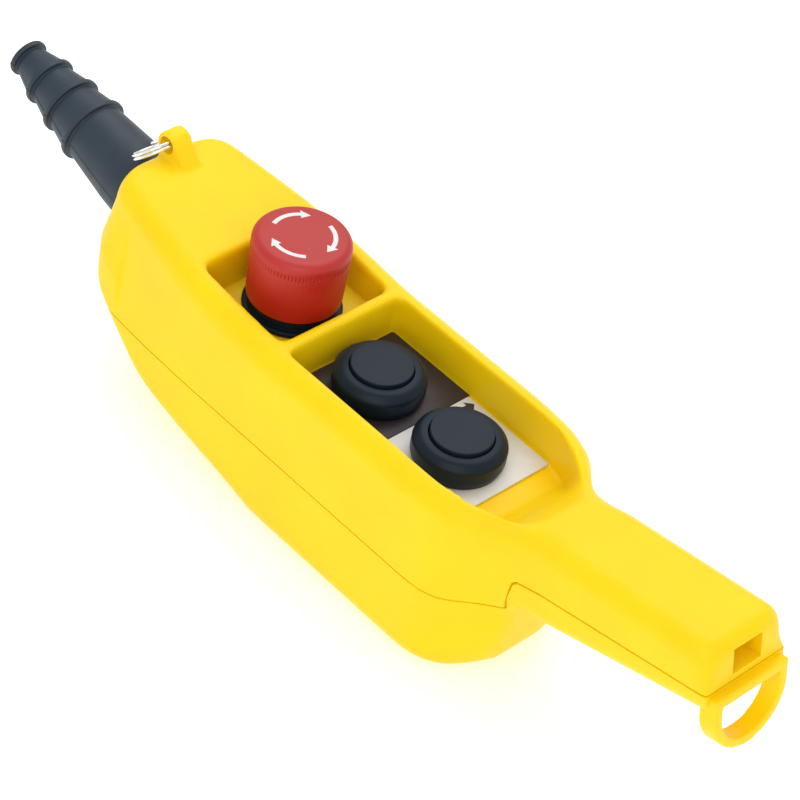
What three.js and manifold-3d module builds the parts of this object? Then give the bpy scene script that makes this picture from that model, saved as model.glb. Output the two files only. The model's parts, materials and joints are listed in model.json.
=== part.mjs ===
// Hand-held pendant control station: a two-shell plastic housing with a latching emergency stop,
// two push-buttons, a slanted grip with a lanyard loop, and a ribbed rubber cable boot.
//
// Units are millimetres. The origin lies on the flat back face, straight behind the first push-button.
// +X runs towards the grip, +Y is the station's left when the grip points down, and +Z comes out of
// the front face, so the station lies on its back.

import * as THREE from 'three';
import { mergeVertices } from 'three/addons/utils/BufferGeometryUtils.js';
import Module from 'manifold-3d';

const wasm = await Module();
wasm.setup();

// ---------------------------------------------------------------- driving dimensions

const GAP = 0.3; // clearance kept between pieces that touch
const BUTTON_PITCH = 44.75;
const BUTTON_X = [0, BUTTON_PITCH];
const ESTOP_X = -51.2;

const WALL = 3; // housing wall thickness
const FLOOR_Z = 64.5; // floor of the control recesses
const ESTOP_FLOOR_Z = 70; // the emergency stop stands on a higher floor
const RIM_Z = 84.2; // top of the rim round the recesses
const PART_Z = 39.1; // height of the joint between the shells
const CABLE_END_X = -134;
const END_ROUND = 8; // rounding of the cable end face, seen from the side
const END_CORNER = 13; // and seen from above
const BELLY_END_X = 99;
const RIM_ROUND = 10; // outer rounding along the top edges
const BACK_ROUND = 9; // rounding along the back edges

const RECESS_CORNER = 3;
const ESTOP_RECESS = { start: -74.5, end: -27.9, half: 27.6 }; // half is half the width
const BUTTON_RECESS = { start: -22.6, rampStart: 75.3, end: 99, half: 29 };

const GRIP_SLOPE = THREE.MathUtils.degToRad(12);
const GRIP_END = new THREE.Vector3(191, 0, 78); // where the shell joint meets the grip's end face
const GRIP_LENGTH = 108;
const GRIP_HALF = 21.3;
const GRIP_PART = 1.2; // the shell joint's height above the grip axis
const GRIP_ROUND = 9;
const LOOP = { front: 3.7, half: 19.4, band: 4, depth: 8.1, straight: -9.3 };
const CLAMP = { x: -106, half: 4, reach: 20.5, screws: [-16, 16], low: 67.5, high: 69.7 }; // cord clamp bar
const LOOP_TOP = -0.6; // height of the loop's bar on the grip's end face
const WINDOW = { half: 7.5, low: 3, high: 14.8, depth: 10.5, wall: 1.5 }; // latch pocket in the grip end

const BOOT_SLOPE = THREE.MathUtils.degToRad(10.9);
const BOOT_TIP = new THREE.Vector3(-221.6, 0, 83.5);
const BOOT_RIBS = [[1.5, 8.7], [16.3, 11.5], [31, 13.6], [46, 15.4]]; // lips: distance from the tip, radius
const BOOT_BASE = { at: 88, radius: 16.7, flange: 18.7, step: 98.5, end: 102.5 };

const LUG = { x: -128.8, z: 99.9, low: -3, high: 6, radius: 5.7, hole: 3.8 };
const RING = { radius: 10.4, wire: 0.7, turns: 2, pitch: 1.55, offset: 8.18, y: -2.2 };
const RING_TILT = THREE.MathUtils.degToRad(48);

const MOUNT_HOLE = 11.4; // radius of the round holes in the recess floor
const NECK = 11; // radius of the bezel necks that pass through them
const PLATE = { thick: 1, half: 28.5 };

const SCREWS = [[-98, 25], [-98, -25], [-26, 29.3], [-26, -29.3], [66, 27.5], [66, -27.5]];
const GRIP_SCREW = 34; // distance of the grip screw from the end face

// ---------------------------------------------------------------- materials

function material(color, roughness, metalness = 0) {
  return new THREE.MeshStandardMaterial({ color, roughness, metalness });
}

const YELLOW = [0xffd21a, 0.42];
const RED = [0xc22a24, 0.38];
const BLACK = [0x2b3036, 0.5];
const RUBBER = [0x3d454c, 0.75];
const WHITE = [0xe6e3dc, 0.6];
const STEEL = [0xc4c8cc, 0.28, 1];
const BRASS = [0xc9a24a, 0.35, 1];
const GREY = [0x8d9196, 0.6];

// ---------------------------------------------------------------- solids

// A closed manifold solid from a three.js geometry, with its faces turned outwards.
function solid(geometry) {
  const bare = geometry.clone();
  for (const name of Object.keys(bare.attributes)) {
    if (name !== 'position') bare.deleteAttribute(name);
  }
  const merged = mergeVertices(bare, 1e-4);
  const p = merged.attributes.position;
  const kept = [];
  let volume = 0;
  for (let i = 0; i < merged.index.count; i += 3) {
    const [a, b, c] = [0, 1, 2].map((k) => merged.index.getX(i + k));
    if (a === b || b === c || a === c) continue;
    kept.push(a, b, c);
    const [u, v, w] = [a, b, c].map((k) => new THREE.Vector3().fromBufferAttribute(p, k));
    volume += u.dot(v.cross(w));
  }
  if (volume < 0) {
    for (let i = 0; i < kept.length; i += 3) {
      [kept[i], kept[i + 1]] = [kept[i + 1], kept[i]];
    }
  }
  const data = { numProp: 3, vertProperties: new Float32Array(p.array), triVerts: new Uint32Array(kept) };
  return new wasm.Manifold(new wasm.Mesh(data));
}

function cut(body, ...tools) {
  return tools.reduce((rest, tool) => rest.subtract(tool), body);
}

function join(body, ...others) {
  return others.reduce((rest, other) => rest.add(other), body);
}

function geometryOf(body) {
  const { vertProperties, triVerts } = body.getMesh();
  const geometry = new THREE.BufferGeometry();
  geometry.setAttribute('position', new THREE.BufferAttribute(vertProperties, 3));
  geometry.setIndex(new THREE.BufferAttribute(triVerts, 1));
  geometry.computeVertexNormals();
  return geometry;
}

// Solid of revolution about +Z from a profile of [radius, z] points.
function turned(profile, segments = 32) {
  const points = profile.map(([r, z]) => new THREE.Vector2(r, z));
  return new THREE.LatheGeometry(points, segments).rotateX(Math.PI / 2);
}

// A ring profile closes on itself round its bore.
function turnedRing(profile, segments = 32) {
  return turned([...profile, profile[0]], segments);
}

function cylinder(radius, low, high, segments = 24) {
  return turned([[0, low], [radius, low], [radius, high], [0, high]], segments);
}

function box(x0, x1, y0, y1, z0, z1) {
  const geometry = new THREE.BoxGeometry(x1 - x0, y1 - y0, z1 - z0);
  return geometry.translate((x0 + x1) / 2, (y0 + y1) / 2, (z0 + z1) / 2);
}

// Outline in X and Y, raised from low to high.
function raised(shape, low, high, curveSegments = 8) {
  const options = { depth: high - low, bevelEnabled: false, curveSegments };
  return new THREE.ExtrudeGeometry(shape, options).translate(0, 0, low);
}

// Outline in X and Z, spread from yLow to yHigh.
function spread(shape, yLow, yHigh, curveSegments = 8) {
  const options = { depth: yHigh - yLow, bevelEnabled: false, curveSegments };
  return new THREE.ExtrudeGeometry(shape, options).rotateX(Math.PI / 2).translate(0, yHigh, 0);
}

function polygon(points) {
  return new THREE.Shape(points.map(([a, b]) => new THREE.Vector2(a, b)));
}

// Skin over a row of rings of [x, y, z] points, closed by a fan at each end.
function loft(rings) {
  const sides = rings[0].length;
  const vertices = rings.flat(2);
  const index = [];
  for (let r = 0; r + 1 < rings.length; r += 1) {
    for (let k = 0; k < sides; k += 1) {
      const a = r * sides + k;
      const b = r * sides + ((k + 1) % sides);
      index.push(a, b, a + sides, b, b + sides, a + sides);
    }
  }
  for (const [r, flip] of [[0, true], [rings.length - 1, false]]) {
    const ring = rings[r];
    const middle = [0, 1, 2].map((axis) => ring.reduce((sum, p) => sum + p[axis], 0) / sides);
    const centre = vertices.length / 3;
    vertices.push(...middle);
    for (let k = 0; k < sides; k += 1) {
      const a = r * sides + k;
      const b = r * sides + ((k + 1) % sides);
      index.push(...(flip ? [centre, b, a] : [centre, a, b]));
    }
  }
  const geometry = new THREE.BufferGeometry();
  geometry.setAttribute('position', new THREE.Float32BufferAttribute(vertices, 3));
  geometry.setIndex(index);
  return geometry;
}

// Smooth curve through a few [x, value] points that never overshoots them.
function follow(points, x) {
  const last = points.length - 1;
  if (x <= points[0][0]) return points[0][1];
  if (x >= points[last][0]) return points[last][1];
  const slope = (i) => (points[i + 1][1] - points[i][1]) / (points[i + 1][0] - points[i][0]);
  const tangent = (i) => {
    if (i === 0) return slope(0);
    if (i === last) return slope(last - 1);
    const [a, b] = [slope(i - 1), slope(i)];
    return a * b <= 0 ? 0 : (2 * a * b) / (a + b);
  };
  const i = points.findIndex((p) => p[0] > x) - 1;
  const width = points[i + 1][0] - points[i][0];
  const t = (x - points[i][0]) / width;
  const [h1, h2] = [t * t * (3 - 2 * t), t * t * (t - 1)];
  const rise = points[i + 1][1] - points[i][1];
  return points[i][1] + rise * h1 + width * (tangent(i) * t * (1 - t) ** 2 + tangent(i + 1) * h2);
}

// Cross-section as [across, up] points: straight sides from the low width to the top width,
// a rounding along each edge, both halves alike.
function roundedSection({ top, bottom, wideTop, wideLow, waist, roundTop, roundLow }, steps) {
  const half = [[0, bottom]];
  for (let k = 0; k <= steps; k += 1) {
    const a = (k / steps) * Math.PI / 2;
    half.push([wideLow - roundLow * (1 - Math.sin(a)), bottom + roundLow * (1 - Math.cos(a))]);
  }
  const shoulder = top - roundTop;
  if (waist > bottom + roundLow + 1 && waist < shoulder - 1) half.push([wideLow, waist]);
  else half.push([wideLow, (bottom + roundLow) * 0.6 + shoulder * 0.4]);
  for (let k = 0; k <= steps; k += 1) {
    const a = (k / steps) * Math.PI / 2;
    half.push([wideTop - roundTop * (1 - Math.cos(a)), shoulder + roundTop * Math.sin(a)]);
  }
  half.push([0, top]);
  const mirrored = half.slice(1, -1).reverse().map(([y, z]) => [-y, z]);
  return [...half, ...mirrored];
}

// Grip frame: along runs back from the end face, up is square to the grip axis.
function gripPoint(along, across, up) {
  const x = GRIP_END.x - along * Math.cos(GRIP_SLOPE) - up * Math.sin(GRIP_SLOPE);
  const z = GRIP_END.z - along * Math.sin(GRIP_SLOPE) + up * Math.cos(GRIP_SLOPE);
  return [x, across, z];
}

// Turns geometry drawn with +X along the grip axis, ending at x = 0, into the grip frame.
function onGrip(geometry) {
  return geometry.rotateY(-GRIP_SLOPE).translate(GRIP_END.x, GRIP_END.y, GRIP_END.z);
}

// ---------------------------------------------------------------- housing form

const TOP_LINE = [[-140, 96], [-90, 90.7], [-45, 86], [-20, RIM_Z], [62, RIM_Z], [82, 83.6],
  [BELLY_END_X, 83]];
const BACK_LINE = [[-140, 51.5], [-123, 38], [-107, 25.6], [-92, 16], [-75, 11.4], [-40, 4.6], [-16, 0],
  [82, 0], [90, 1.8], [94, 7], [96, 16], [97.5, 30], [BELLY_END_X, 48]];
const WIDE_TOP = [[-140, 26.5], [-125, 30], [-110, 32.6], [-94, 35.2], [-78, 37.4], [-50, 38.8],
  [45, 38.8], [60, 38.2], [70, 36.8], [78, 34.6], [85, 30.8], [91, 25.5], [BELLY_END_X, 18.5]];
const WIDE_LOW = [[-140, 34], [-115, 36.8], [-85, 38.6], [-60, 39], [60, 39], [69, 38.4], [76, 36.2],
  [82, 31.6], [88, 25], [94, 19.5], [BELLY_END_X, 16]];

// How far a rounding of the given radius draws a surface in, this far past where it begins.
function ease(radius, past) {
  return radius - Math.sqrt(Math.max(0, radius ** 2 - Math.max(0, past) ** 2));
}

function bodySection(x, inset, steps) {
  const top = follow(TOP_LINE, x) - inset - ease(END_ROUND, CABLE_END_X + END_ROUND - x);
  const bottom = follow(BACK_LINE, x) + inset + ease(END_ROUND, CABLE_END_X + END_ROUND - x);
  const pull = inset + ease(END_CORNER, CABLE_END_X + END_CORNER - x);
  const roundTop = Math.max(1, RIM_ROUND - inset);
  const roundLow = Math.max(1, Math.min(BACK_ROUND, 17 + (BELLY_END_X - x)) - inset);
  return roundedSection({
    top,
    bottom,
    wideTop: follow(WIDE_TOP, x) - pull,
    wideLow: follow(WIDE_LOW, x) - pull,
    waist: PART_Z,
    roundTop: Math.min(roundTop, (top - bottom) / 2 - 2),
    roundLow: Math.min(roundLow, (top - bottom) / 2 - 2),
  }, steps).map(([y, z]) => [x, y, z]);
}

function bodyForm(inset, steps, stations) {
  const from = CABLE_END_X + inset;
  const to = BELLY_END_X - inset;
  const inside = stations.filter((x) => x > from + 0.5 && x < to - 0.5);
  return loft([from, ...inside, to].map((x) => bodySection(x, inset, steps)));
}

function gripSection(along, inset, steps) {
  const pull = inset + ease(7, 7 - along);
  const top = 19.8 + 0.05 * along - pull;
  const bottom = -9.2 - 0.079 * along + inset;
  const wide = GRIP_HALF - pull;
  const section = roundedSection({
    top,
    bottom,
    wideTop: wide,
    wideLow: GRIP_HALF - inset,
    waist: GRIP_PART,
    roundTop: GRIP_ROUND - inset,
    roundLow: GRIP_ROUND - inset,
  }, steps);
  return section.map(([y, v]) => gripPoint(along, y, v));
}

function gripForm(inset, steps, stations) {
  return loft(stations.map((along) => gripSection(along, inset, steps)));
}

const BODY_STATIONS = [-133.4, -132, -130, -127.5, -123, -115, -107, -99, -92, -84, -75, -60, -45, -32, -20,
  -16, 0, 30, 60, 65, 70, 74, 78, 82, 85, 88, 90.5, 92, 93.5, 95];
const GRIP_STATIONS = [GRIP_LENGTH, 72, 36, 7, 4.5, 2.4, 1, 0.2];

const outerForm = join(
  solid(bodyForm(0, 6, BODY_STATIONS)),
  solid(gripForm(0, 6, GRIP_STATIONS)),
);

// Room inside the shells: the body and the grip, joined through the mouth of the grip.
const CAVITY_STATIONS = [-129, -123, -107, -92, -75, -45, -20, 0, 60, 70, 78, 84, 88, 91];
const innerForm = join(
  solid(bodyForm(WALL, 3, CAVITY_STATIONS)),
  solid(gripForm(WALL, 3, [GRIP_LENGTH - 2, 50, WALL])),
);

// Recess cut: straight walls, rounded in plan at its closed ends. Grow makes the tray round it.
function recessForm(widthLine, floorLine, grow, stations) {
  const rings = stations.map((x) => {
    const half = follow(widthLine, x) + grow;
    const low = follow(floorLine, x) - grow;
    const high = 120;
    return [[x, -half, low], [x, half, low], [x, half, high], [x, -half, high]];
  });
  return solid(loft(rings));
}

// Stations and half widths of a rounded closed end at x, opening towards +X (side 1) or -X (side -1).
function roundedEnd(x, side, radius, half) {
  return [0, 20, 45, 70, 90].map((degrees) => {
    const a = THREE.MathUtils.degToRad(degrees);
    return [x + side * radius * (1 - Math.cos(a)), half - radius * (1 - Math.sin(a))];
  });
}

function estopRecess(grow) {
  const start = roundedEnd(ESTOP_RECESS.start - grow, 1, RECESS_CORNER, ESTOP_RECESS.half);
  const end = roundedEnd(ESTOP_RECESS.end + grow, -1, RECESS_CORNER, ESTOP_RECESS.half).reverse();
  const line = [...start, ...end];
  return recessForm(line, [[-200, ESTOP_FLOOR_Z], [200, ESTOP_FLOOR_Z]], grow, line.map((p) => p[0]));
}

const RAMP_WIDTH = [[60, BUTTON_RECESS.half], [68, 28], [76, 25.6], [84, 21.5], [91, 17], [99, 12]];
const RAMP_FLOOR = [[0, FLOOR_Z], [BUTTON_RECESS.rampStart, FLOOR_Z], [82, 68.2], [90, 76.5], [99, 83.4]];

function buttonRecess(grow) {
  const { start, rampStart, end, half } = BUTTON_RECESS;
  const corner = roundedEnd(start - grow, 1, RECESS_CORNER, half);
  const stations = [...corner.map((p) => p[0]), 60, 68, rampStart, 79, 82, 86, 90, 94, end];
  return recessForm([...corner, ...RAMP_WIDTH], RAMP_FLOOR, grow, stations);
}

// The shell joint seen from the side: level along the body, a step up, then along the grip.
const gripJoint = (along) => {
  const [x, , z] = gripPoint(along, 0, GRIP_PART);
  return [x, z];
};

function jointTool(side) {
  const shift = (GAP / 2) * side;
  const line = [[-160, PART_Z], [96, PART_Z], [99, 57], [101.2, 59.2], gripJoint(80), gripJoint(-12)];
  const far = side > 0 ? 140 : -40;
  const moved = line.map(([x, z]) => [x - shift, z + shift]);
  return solid(spread(polygon([...moved, [moved.at(-1)[0], far], [moved[0][0], far]]), -60, 60));
}

// ---------------------------------------------------------------- fastener bosses

function screwSeat(x) {
  return follow(BACK_LINE, x) + 12;
}

function upright(geometry, x, y) {
  return solid(geometry.translate(x, y, 0));
}

function onGripUpright(radius, low, high, segments = 14) {
  return solid(onGrip(cylinder(radius, low, high, segments).translate(-GRIP_SCREW, 0, 0)));
}

const bossRoom = cut(outerForm, estopRecess(1), buttonRecess(1));

function bosses(radius, low, high) {
  return SCREWS.map(([x, y]) => upright(cylinder(radius, low, high, 14), x, y));
}

const frontPart = (body) => body.intersect(jointTool(1));
const rearPart = (body) => body.intersect(jointTool(-1));

// ---------------------------------------------------------------- cable boot and its axis

// Turns geometry drawn along +Z from the boot tip into the boot's slanted axis.
function onBoot(geometry) {
  return geometry.rotateY(Math.PI / 2 + BOOT_SLOPE).translate(BOOT_TIP.x, BOOT_TIP.y, BOOT_TIP.z);
}

function bootProfile() {
  const lip = 1.5;
  const outer = BOOT_RIBS.flatMap(([at, radius]) => [[radius - lip, at - 1.5], [radius - 0.3, at - 0.9],
    [radius, at], [radius - 0.3, at + 0.9], [radius - lip + 0.3, at + 1.5]]);
  const { at, radius, flange, step, end } = BOOT_BASE;
  outer.push([radius, at], [radius, step], [flange, step], [flange, end], [7.5, end]);
  return [[4.6, 0], ...outer, [7.5, 60], [4.6, 30]];
}

// The boot is one rubber moulding, made as four quarters round its bore.
function bootQuarter(k) {
  const reach = BOOT_BASE.flange * 2;
  const corner = box(GAP / 2, reach, GAP / 2, reach, -5, BOOT_BASE.end + 5);
  const wedge = solid(corner.rotateZ(Math.PI / 4 + (k * Math.PI) / 2));
  return onBoot(geometryOf(solid(turnedRing(bootProfile(), 28)).intersect(wedge)));
}

// ---------------------------------------------------------------- shells

function lugOutline() {
  const shape = new THREE.Shape();
  shape.moveTo(LUG.x - 3.5, 89);
  shape.lineTo(-115.8, 89);
  shape.lineTo(-115.8, 92.6);
  shape.absarc(LUG.x, LUG.z, LUG.radius, 0.75, Math.PI, false);
  return shape;
}

function onLug(radius, low, high, segments = 18) {
  const axle = cylinder(radius, low, high, segments).rotateX(Math.PI / 2);
  return solid(axle.translate(LUG.x, 0, LUG.z));
}

const bootHole = solid(onBoot(cylinder(BOOT_BASE.radius + 0.5, 60, 110, 28)));

// Blind pocket behind the window in the grip's end face, and the walls round it.
function gripPocket(wall) {
  const { half, low, high, depth } = WINDOW;
  const front = wall ? -1 : 8;
  return solid(onGrip(box(-depth - wall, front, -half - wall, half + wall, low - wall, high + wall)));
}

function floorHoles() {
  return [ESTOP_X, ...BUTTON_X].map((x) => upright(cylinder(MOUNT_HOLE, 50, 80, 28), x, 0));
}

// Flat bar that grips the cable's sheath ahead of the boot.
function clampBar() {
  const { x, half, reach, screws, low, high } = CLAMP;
  const outline = rectangle(x - half, x + half, -reach, reach);
  return raised(screws.reduce((shape, y) => withHole(shape, x, y, 2.2), outline), low, high);
}

function frontShell() {
  const room = cut(innerForm, estopRecess(2.6), buttonRecess(2.6));
  const skin = cut(outerForm, room, estopRecess(0), buttonRecess(0));
  const posts = bosses(4.6, PART_Z - 5, 90).map((post) => frontPart(post.intersect(bossRoom)));
  const gripPost = frontPart(onGripUpright(4.6, -5, 18.5).intersect(outerForm));
  const lug = solid(spread(lugOutline(), LUG.low, LUG.high, 10));
  const cordPosts = CLAMP.screws.map((y) => {
    return upright(cylinder(4, CLAMP.high + GAP, 91, 12), CLAMP.x, y).intersect(outerForm);
  });
  const pilots = bosses(2.3, 0, 62);
  const cordPilots = CLAMP.screws.map((y) => upright(cylinder(2, 60, 82, 10), CLAMP.x, y));
  return cut(
    join(frontPart(skin), ...posts, gripPost, lug, ...cordPosts, gripPocket(WINDOW.wall)),
    bootHole,
    gripPocket(0),
    ...floorHoles(),
    ...pilots,
    onGripUpright(2.3, -20, 12.5),
    ...cordPilots,
    onLug(LUG.hole, -20, 20),
  );
}

function loopOutline(half) {
  const shape = new THREE.Shape();
  shape.moveTo(-half, 0);
  shape.lineTo(-half, LOOP.straight);
  shape.absarc(0, LOOP.straight, half, Math.PI, 2 * Math.PI, false);
  shape.lineTo(half, 0);
  return shape;
}

// An outline across the grip, running back from the given distance in front of the end face.
function acrossGrip(shape, front, depth) {
  const options = { depth, bevelEnabled: false, curveSegments: 14 };
  const geometry = new THREE.ExtrudeGeometry(shape, options).rotateX(Math.PI / 2).rotateZ(Math.PI / 2);
  return solid(onGrip(geometry.translate(front - depth, 0, 0)));
}

function lanyardLoop() {
  const { front, half, band, depth } = LOOP;
  const top = solid(onGrip(box(-20, 20, -30, 30, LOOP_TOP, 40)));
  const barBottom = solid(onGrip(box(-30, 20, -30, 30, LOOP_TOP - 3.6, 40)));
  const opening = cut(acrossGrip(loopOutline(half - band), front + 4, depth + 8), barBottom);
  return cut(acrossGrip(loopOutline(half), front, depth), top, opening);
}

function rearShell() {
  const skin = cut(outerForm, innerForm);
  const posts = bosses(5.6, -5, PART_Z + 5).map((post) => rearPart(post.intersect(outerForm)));
  const gripPost = rearPart(onGripUpright(5, -20, 5).intersect(outerForm));
  const heads = SCREWS.map(([x, y]) => upright(cylinder(4.1, -10, screwSeat(x), 16), x, y));
  return cut(
    join(rearPart(skin), ...posts, gripPost, lanyardLoop()),
    ...heads,
    ...bosses(2.3, -10, 60),
    onGripUpright(4.1, -30, -6, 16),
    onGripUpright(2.3, -30, 10),
  );
}

// ---------------------------------------------------------------- small pieces

// Screw with a domed head below z = 0 and its shank rising to the given length.
function screw(head, shank, length, segments = 10) {
  return turned([[0, -2.6], [head * 0.7, -2.4], [head, -1.2], [head, 0], [shank, 0], [shank, length - 1],
    [0, length]], segments);
}

function coil(radius, wire, turns, low, high, steps, sides) {
  class Helix extends THREE.Curve {
    getPoint(t, target = new THREE.Vector3()) {
      const a = t * turns * 2 * Math.PI;
      return target.set(radius * Math.cos(a), radius * Math.sin(a), low + wire + t * (high - low - 2 * wire));
    }
  }
  const section = polygon(Array.from({ length: sides }, (_, k) => {
    const a = (k / sides) * 2 * Math.PI;
    return [wire * Math.cos(a), wire * Math.sin(a)];
  }));
  return new THREE.ExtrudeGeometry(section, { steps, extrudePath: new Helix(), bevelEnabled: false });
}

function rectangle(x0, x1, y0, y1) {
  return polygon([[x0, y0], [x1, y0], [x1, y1], [x0, y1]]);
}

function withHole(shape, x, y, radius) {
  const hole = new THREE.Path();
  hole.absarc(x, y, radius, 0, 2 * Math.PI, true);
  shape.holes.push(hole);
  return shape;
}

function hexagon(acrossFlats) {
  const radius = acrossFlats / Math.sqrt(3);
  return polygon(Array.from({ length: 6 }, (_, k) => {
    const a = (k * Math.PI) / 3;
    return [radius * Math.cos(a), radius * Math.sin(a)];
  }));
}

// Plate between x0 and x1, cut back at the corners of either end, with a hole for the control's neck.
function legendPlate(x0, x1, holeX, low, half, cut0, cut1) {
  const outline = polygon([[x0, -half + cut0], [x0 + cut0, -half], [x1 - cut1, -half], [x1, -half + cut1],
    [x1, half - cut1], [x1 - cut1, half], [x0 + cut0, half], [x0, half - cut0]]);
  return raised(withHole(outline, holeX, 0, MOUNT_HOLE), low, low + PLATE.thick, 14);
}

// Curved arrow lying on a circle, pointing clockwise, as an outline in X and Y. Spare widens it all round.
function curvedArrow({ radius, width, barb, sweep, head }, start, spare) {
  const lean = Math.atan(barb / (radius * head));
  const from = start + spare / radius;
  const to = start - sweep + spare / radius;
  const tip = start - sweep - head - spare / Math.sin(lean) / radius;
  const [inner, outer] = [radius - width / 2 - spare, radius + width / 2 + spare];
  const reach = barb + spare * (1 / Math.cos(lean) + Math.tan(lean));
  const at = (r, a) => [r * Math.cos(a), r * Math.sin(a)];
  const shape = new THREE.Shape();
  shape.moveTo(...at(outer, from));
  shape.absarc(0, 0, outer, from, to, true);
  shape.lineTo(...at(radius + reach, to));
  shape.lineTo(...at(radius, tip));
  shape.lineTo(...at(radius - reach, to));
  shape.lineTo(...at(inner, to));
  shape.absarc(0, 0, inner, to, from, false);
  return shape;
}

// Straight arrow pointing towards +Y, its tip at the origin. Spare widens it all round.
function straightArrow(length, width, spare) {
  const half = width / 2;
  const lean = Math.PI / 4;
  const tip = spare / Math.sin(lean);
  const neck = -half - spare;
  const reach = half + spare * (1 / Math.cos(lean) + Math.tan(lean));
  const shaft = width / 5 + spare;
  const end = -length - spare;
  return polygon([[0, tip], [-reach, neck], [-shaft, neck], [-shaft, end], [shaft, end], [shaft, neck],
    [reach, neck]]);
}

// ---------------------------------------------------------------- button and contact pieces

const PLATE_Z = FLOOR_Z + GAP;
const BEZEL = {
  low: PLATE_Z + PLATE.thick + GAP,
  high: 78.2,
  radius: 18.5,
  mouth: 12.8,
  floor: 67,
  seat: 58,
};
const SPRING_BORE = 9.6;
const STEM_BORE = 6.2;
const CAP = { radius: 12.5, low: 73, high: 80 };
const STEM = 5;
const BRIDGE_Z = 37.6;
const BLOCK = { low: 27, high: 45.5, halfX: 12, halfY: 15.5, terminalX: 8, terminalY: [-12.5, 12.5] };
const NECK_END = BLOCK.high + GAP; // the contact block clips on under the neck
const PANEL = 2.6; // thickness of the recess floor
const NUT_THICK = 4.6;

function bezel() {
  const { low, high, radius, mouth, floor, seat } = BEZEL;
  return turnedRing([[STEM_BORE, NECK_END], [NECK, NECK_END], [NECK, low], [radius - 1.4, low],
    [radius - 0.3, low + 2], [radius, high - 5], [radius - 0.7, high - 2.8], [radius - 2.2, high - 1.1],
    [radius - 4.2, high - 0.2], [mouth, high], [mouth, floor], [SPRING_BORE, floor], [SPRING_BORE, seat],
    [STEM_BORE, seat]], 28);
}

function cap() {
  const { radius, low, high } = CAP;
  return turned([[0, low], [radius, low], [radius, high - 1.4], [radius - 0.5, high - 0.4],
    [radius - 1.6, high], [0, high]], 28);
}

function plunger(top) {
  const collar = 3.2;
  const low = BRIDGE_Z + 1.5 + GAP;
  return turned([[0, low], [collar, low], [collar, 51], [STEM, 52], [STEM, top], [0, top]], 16);
}

function bridge() {
  return box(-3.2, 3.2, -11, 11, BRIDGE_Z, BRIDGE_Z + 1.5);
}

function contactBlock() {
  const { low, high, halfX, halfY, terminalX, terminalY } = BLOCK;
  const shaft = solid(cylinder(3.8, low + 2, high + 5, 14));
  const window = solid(box(-4.2, 4.2, -halfY - 5, halfY + 5, 30.5, 40.6));
  const holes = terminalY.map((y) => solid(cylinder(1.6, 41.5, high + 5, 8).translate(terminalX, y, 0)));
  return cut(solid(box(-halfX, halfX, -halfY, halfY, low, high)), shaft, window, ...holes);
}

function nut(floorZ) {
  const high = floorZ - PANEL - GAP;
  return raised(withHole(hexagon(27), 0, 0, NECK + GAP + 0.1), high - NUT_THICK, high, 12);
}

// ---------------------------------------------------------------- emergency stop pieces

const HEAD = { low: 78.5, high: 107.3, top: 19.8, foot: 19.1, bore: 18 };
const ESTOP_PLATE_Z = ESTOP_FLOOR_Z + GAP;
const COLLAR = {
  low: ESTOP_PLATE_Z + PLATE.thick + GAP,
  shoulder: 73.6,
  high: 78,
  radius: 20,
  neck: 17.4,
  floor: 74,
  seat: 62,
};
const ARROW = { depth: 1.6, radius: 12.6, width: 1.8, barb: 2.3, sweep: Math.PI / 3, head: Math.PI / 10 };

function estopHead() {
  const { low, high, top, foot, bore } = HEAD;
  const body = solid(turnedRing([[6.6, low + 2.5], [9.4, low + 2.5], [9.4, 97], [bore, 97], [bore, low],
    [foot, low], [top, high - 4.4], [top - 0.5, high - 2.2], [top - 1.7, high - 0.7], [top - 3.6, high],
    [0, high], [0, 98], [6.6, 98]], 32));
  return cut(body, ...arrows(high - ARROW.depth, high + 3, 1.6 * GAP).map(solid));
}

function arrows(low, high, spare) {
  return [0, 1, 2].map((k) => raised(curvedArrow(ARROW, 1.45 - (k * 2 * Math.PI) / 3, spare), low, high, 8));
}

function estopCollar() {
  const { low, shoulder, high, radius, neck, floor, seat } = COLLAR;
  return turnedRing([[6.8, NECK_END], [NECK, NECK_END], [NECK, low], [radius, low], [radius, shoulder - 0.8],
    [radius - 0.8, shoulder], [neck, shoulder], [neck, high], [14.5, high], [14.5, floor],
    [SPRING_BORE, floor], [SPRING_BORE, seat], [6.8, seat]], 32);
}

function estopShaft() {
  const low = BRIDGE_Z + 1.5 + GAP;
  return turned([[0, low], [3.2, low], [3.2, 49.5], [6.2, 50], [6.2, 97.6], [0, 97.6]], 18);
}

// ---------------------------------------------------------------- assembly

const station = new THREE.Group();

function add(name, body, finish) {
  const solidBody = body instanceof THREE.BufferGeometry ? solid(body) : body;
  const mesh = new THREE.Mesh(geometryOf(solidBody), material(...finish));
  mesh.name = name;
  station.add(mesh);
  return mesh;
}

function addAt(name, body, finish, x, y = 0, z = 0) {
  add(name, body, finish).position.set(x, y, z);
}

function addTerminals(name, x) {
  BLOCK.terminalY.forEach((y, k) => {
    const terminal = screw(2.2, 1.2, 3.4, 8).rotateX(Math.PI);
    addAt(`${name}_terminal_screw_${k + 1}`, terminal, STEEL, x + BLOCK.terminalX, y, BLOCK.high + GAP);
  });
}

// Housing.
add('front_shell', frontShell(), YELLOW);
add('rear_shell', rearShell(), YELLOW);
SCREWS.forEach(([x, y], i) => {
  addAt(`housing_screw_${i + 1}`, screw(3.7, 1.9, 28), STEEL, x, y, screwSeat(x) - GAP);
});
add('grip_screw', onGrip(screw(3.7, 1.9, 16).translate(-GRIP_SCREW, 0, -6 - GAP)), STEEL);

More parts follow.
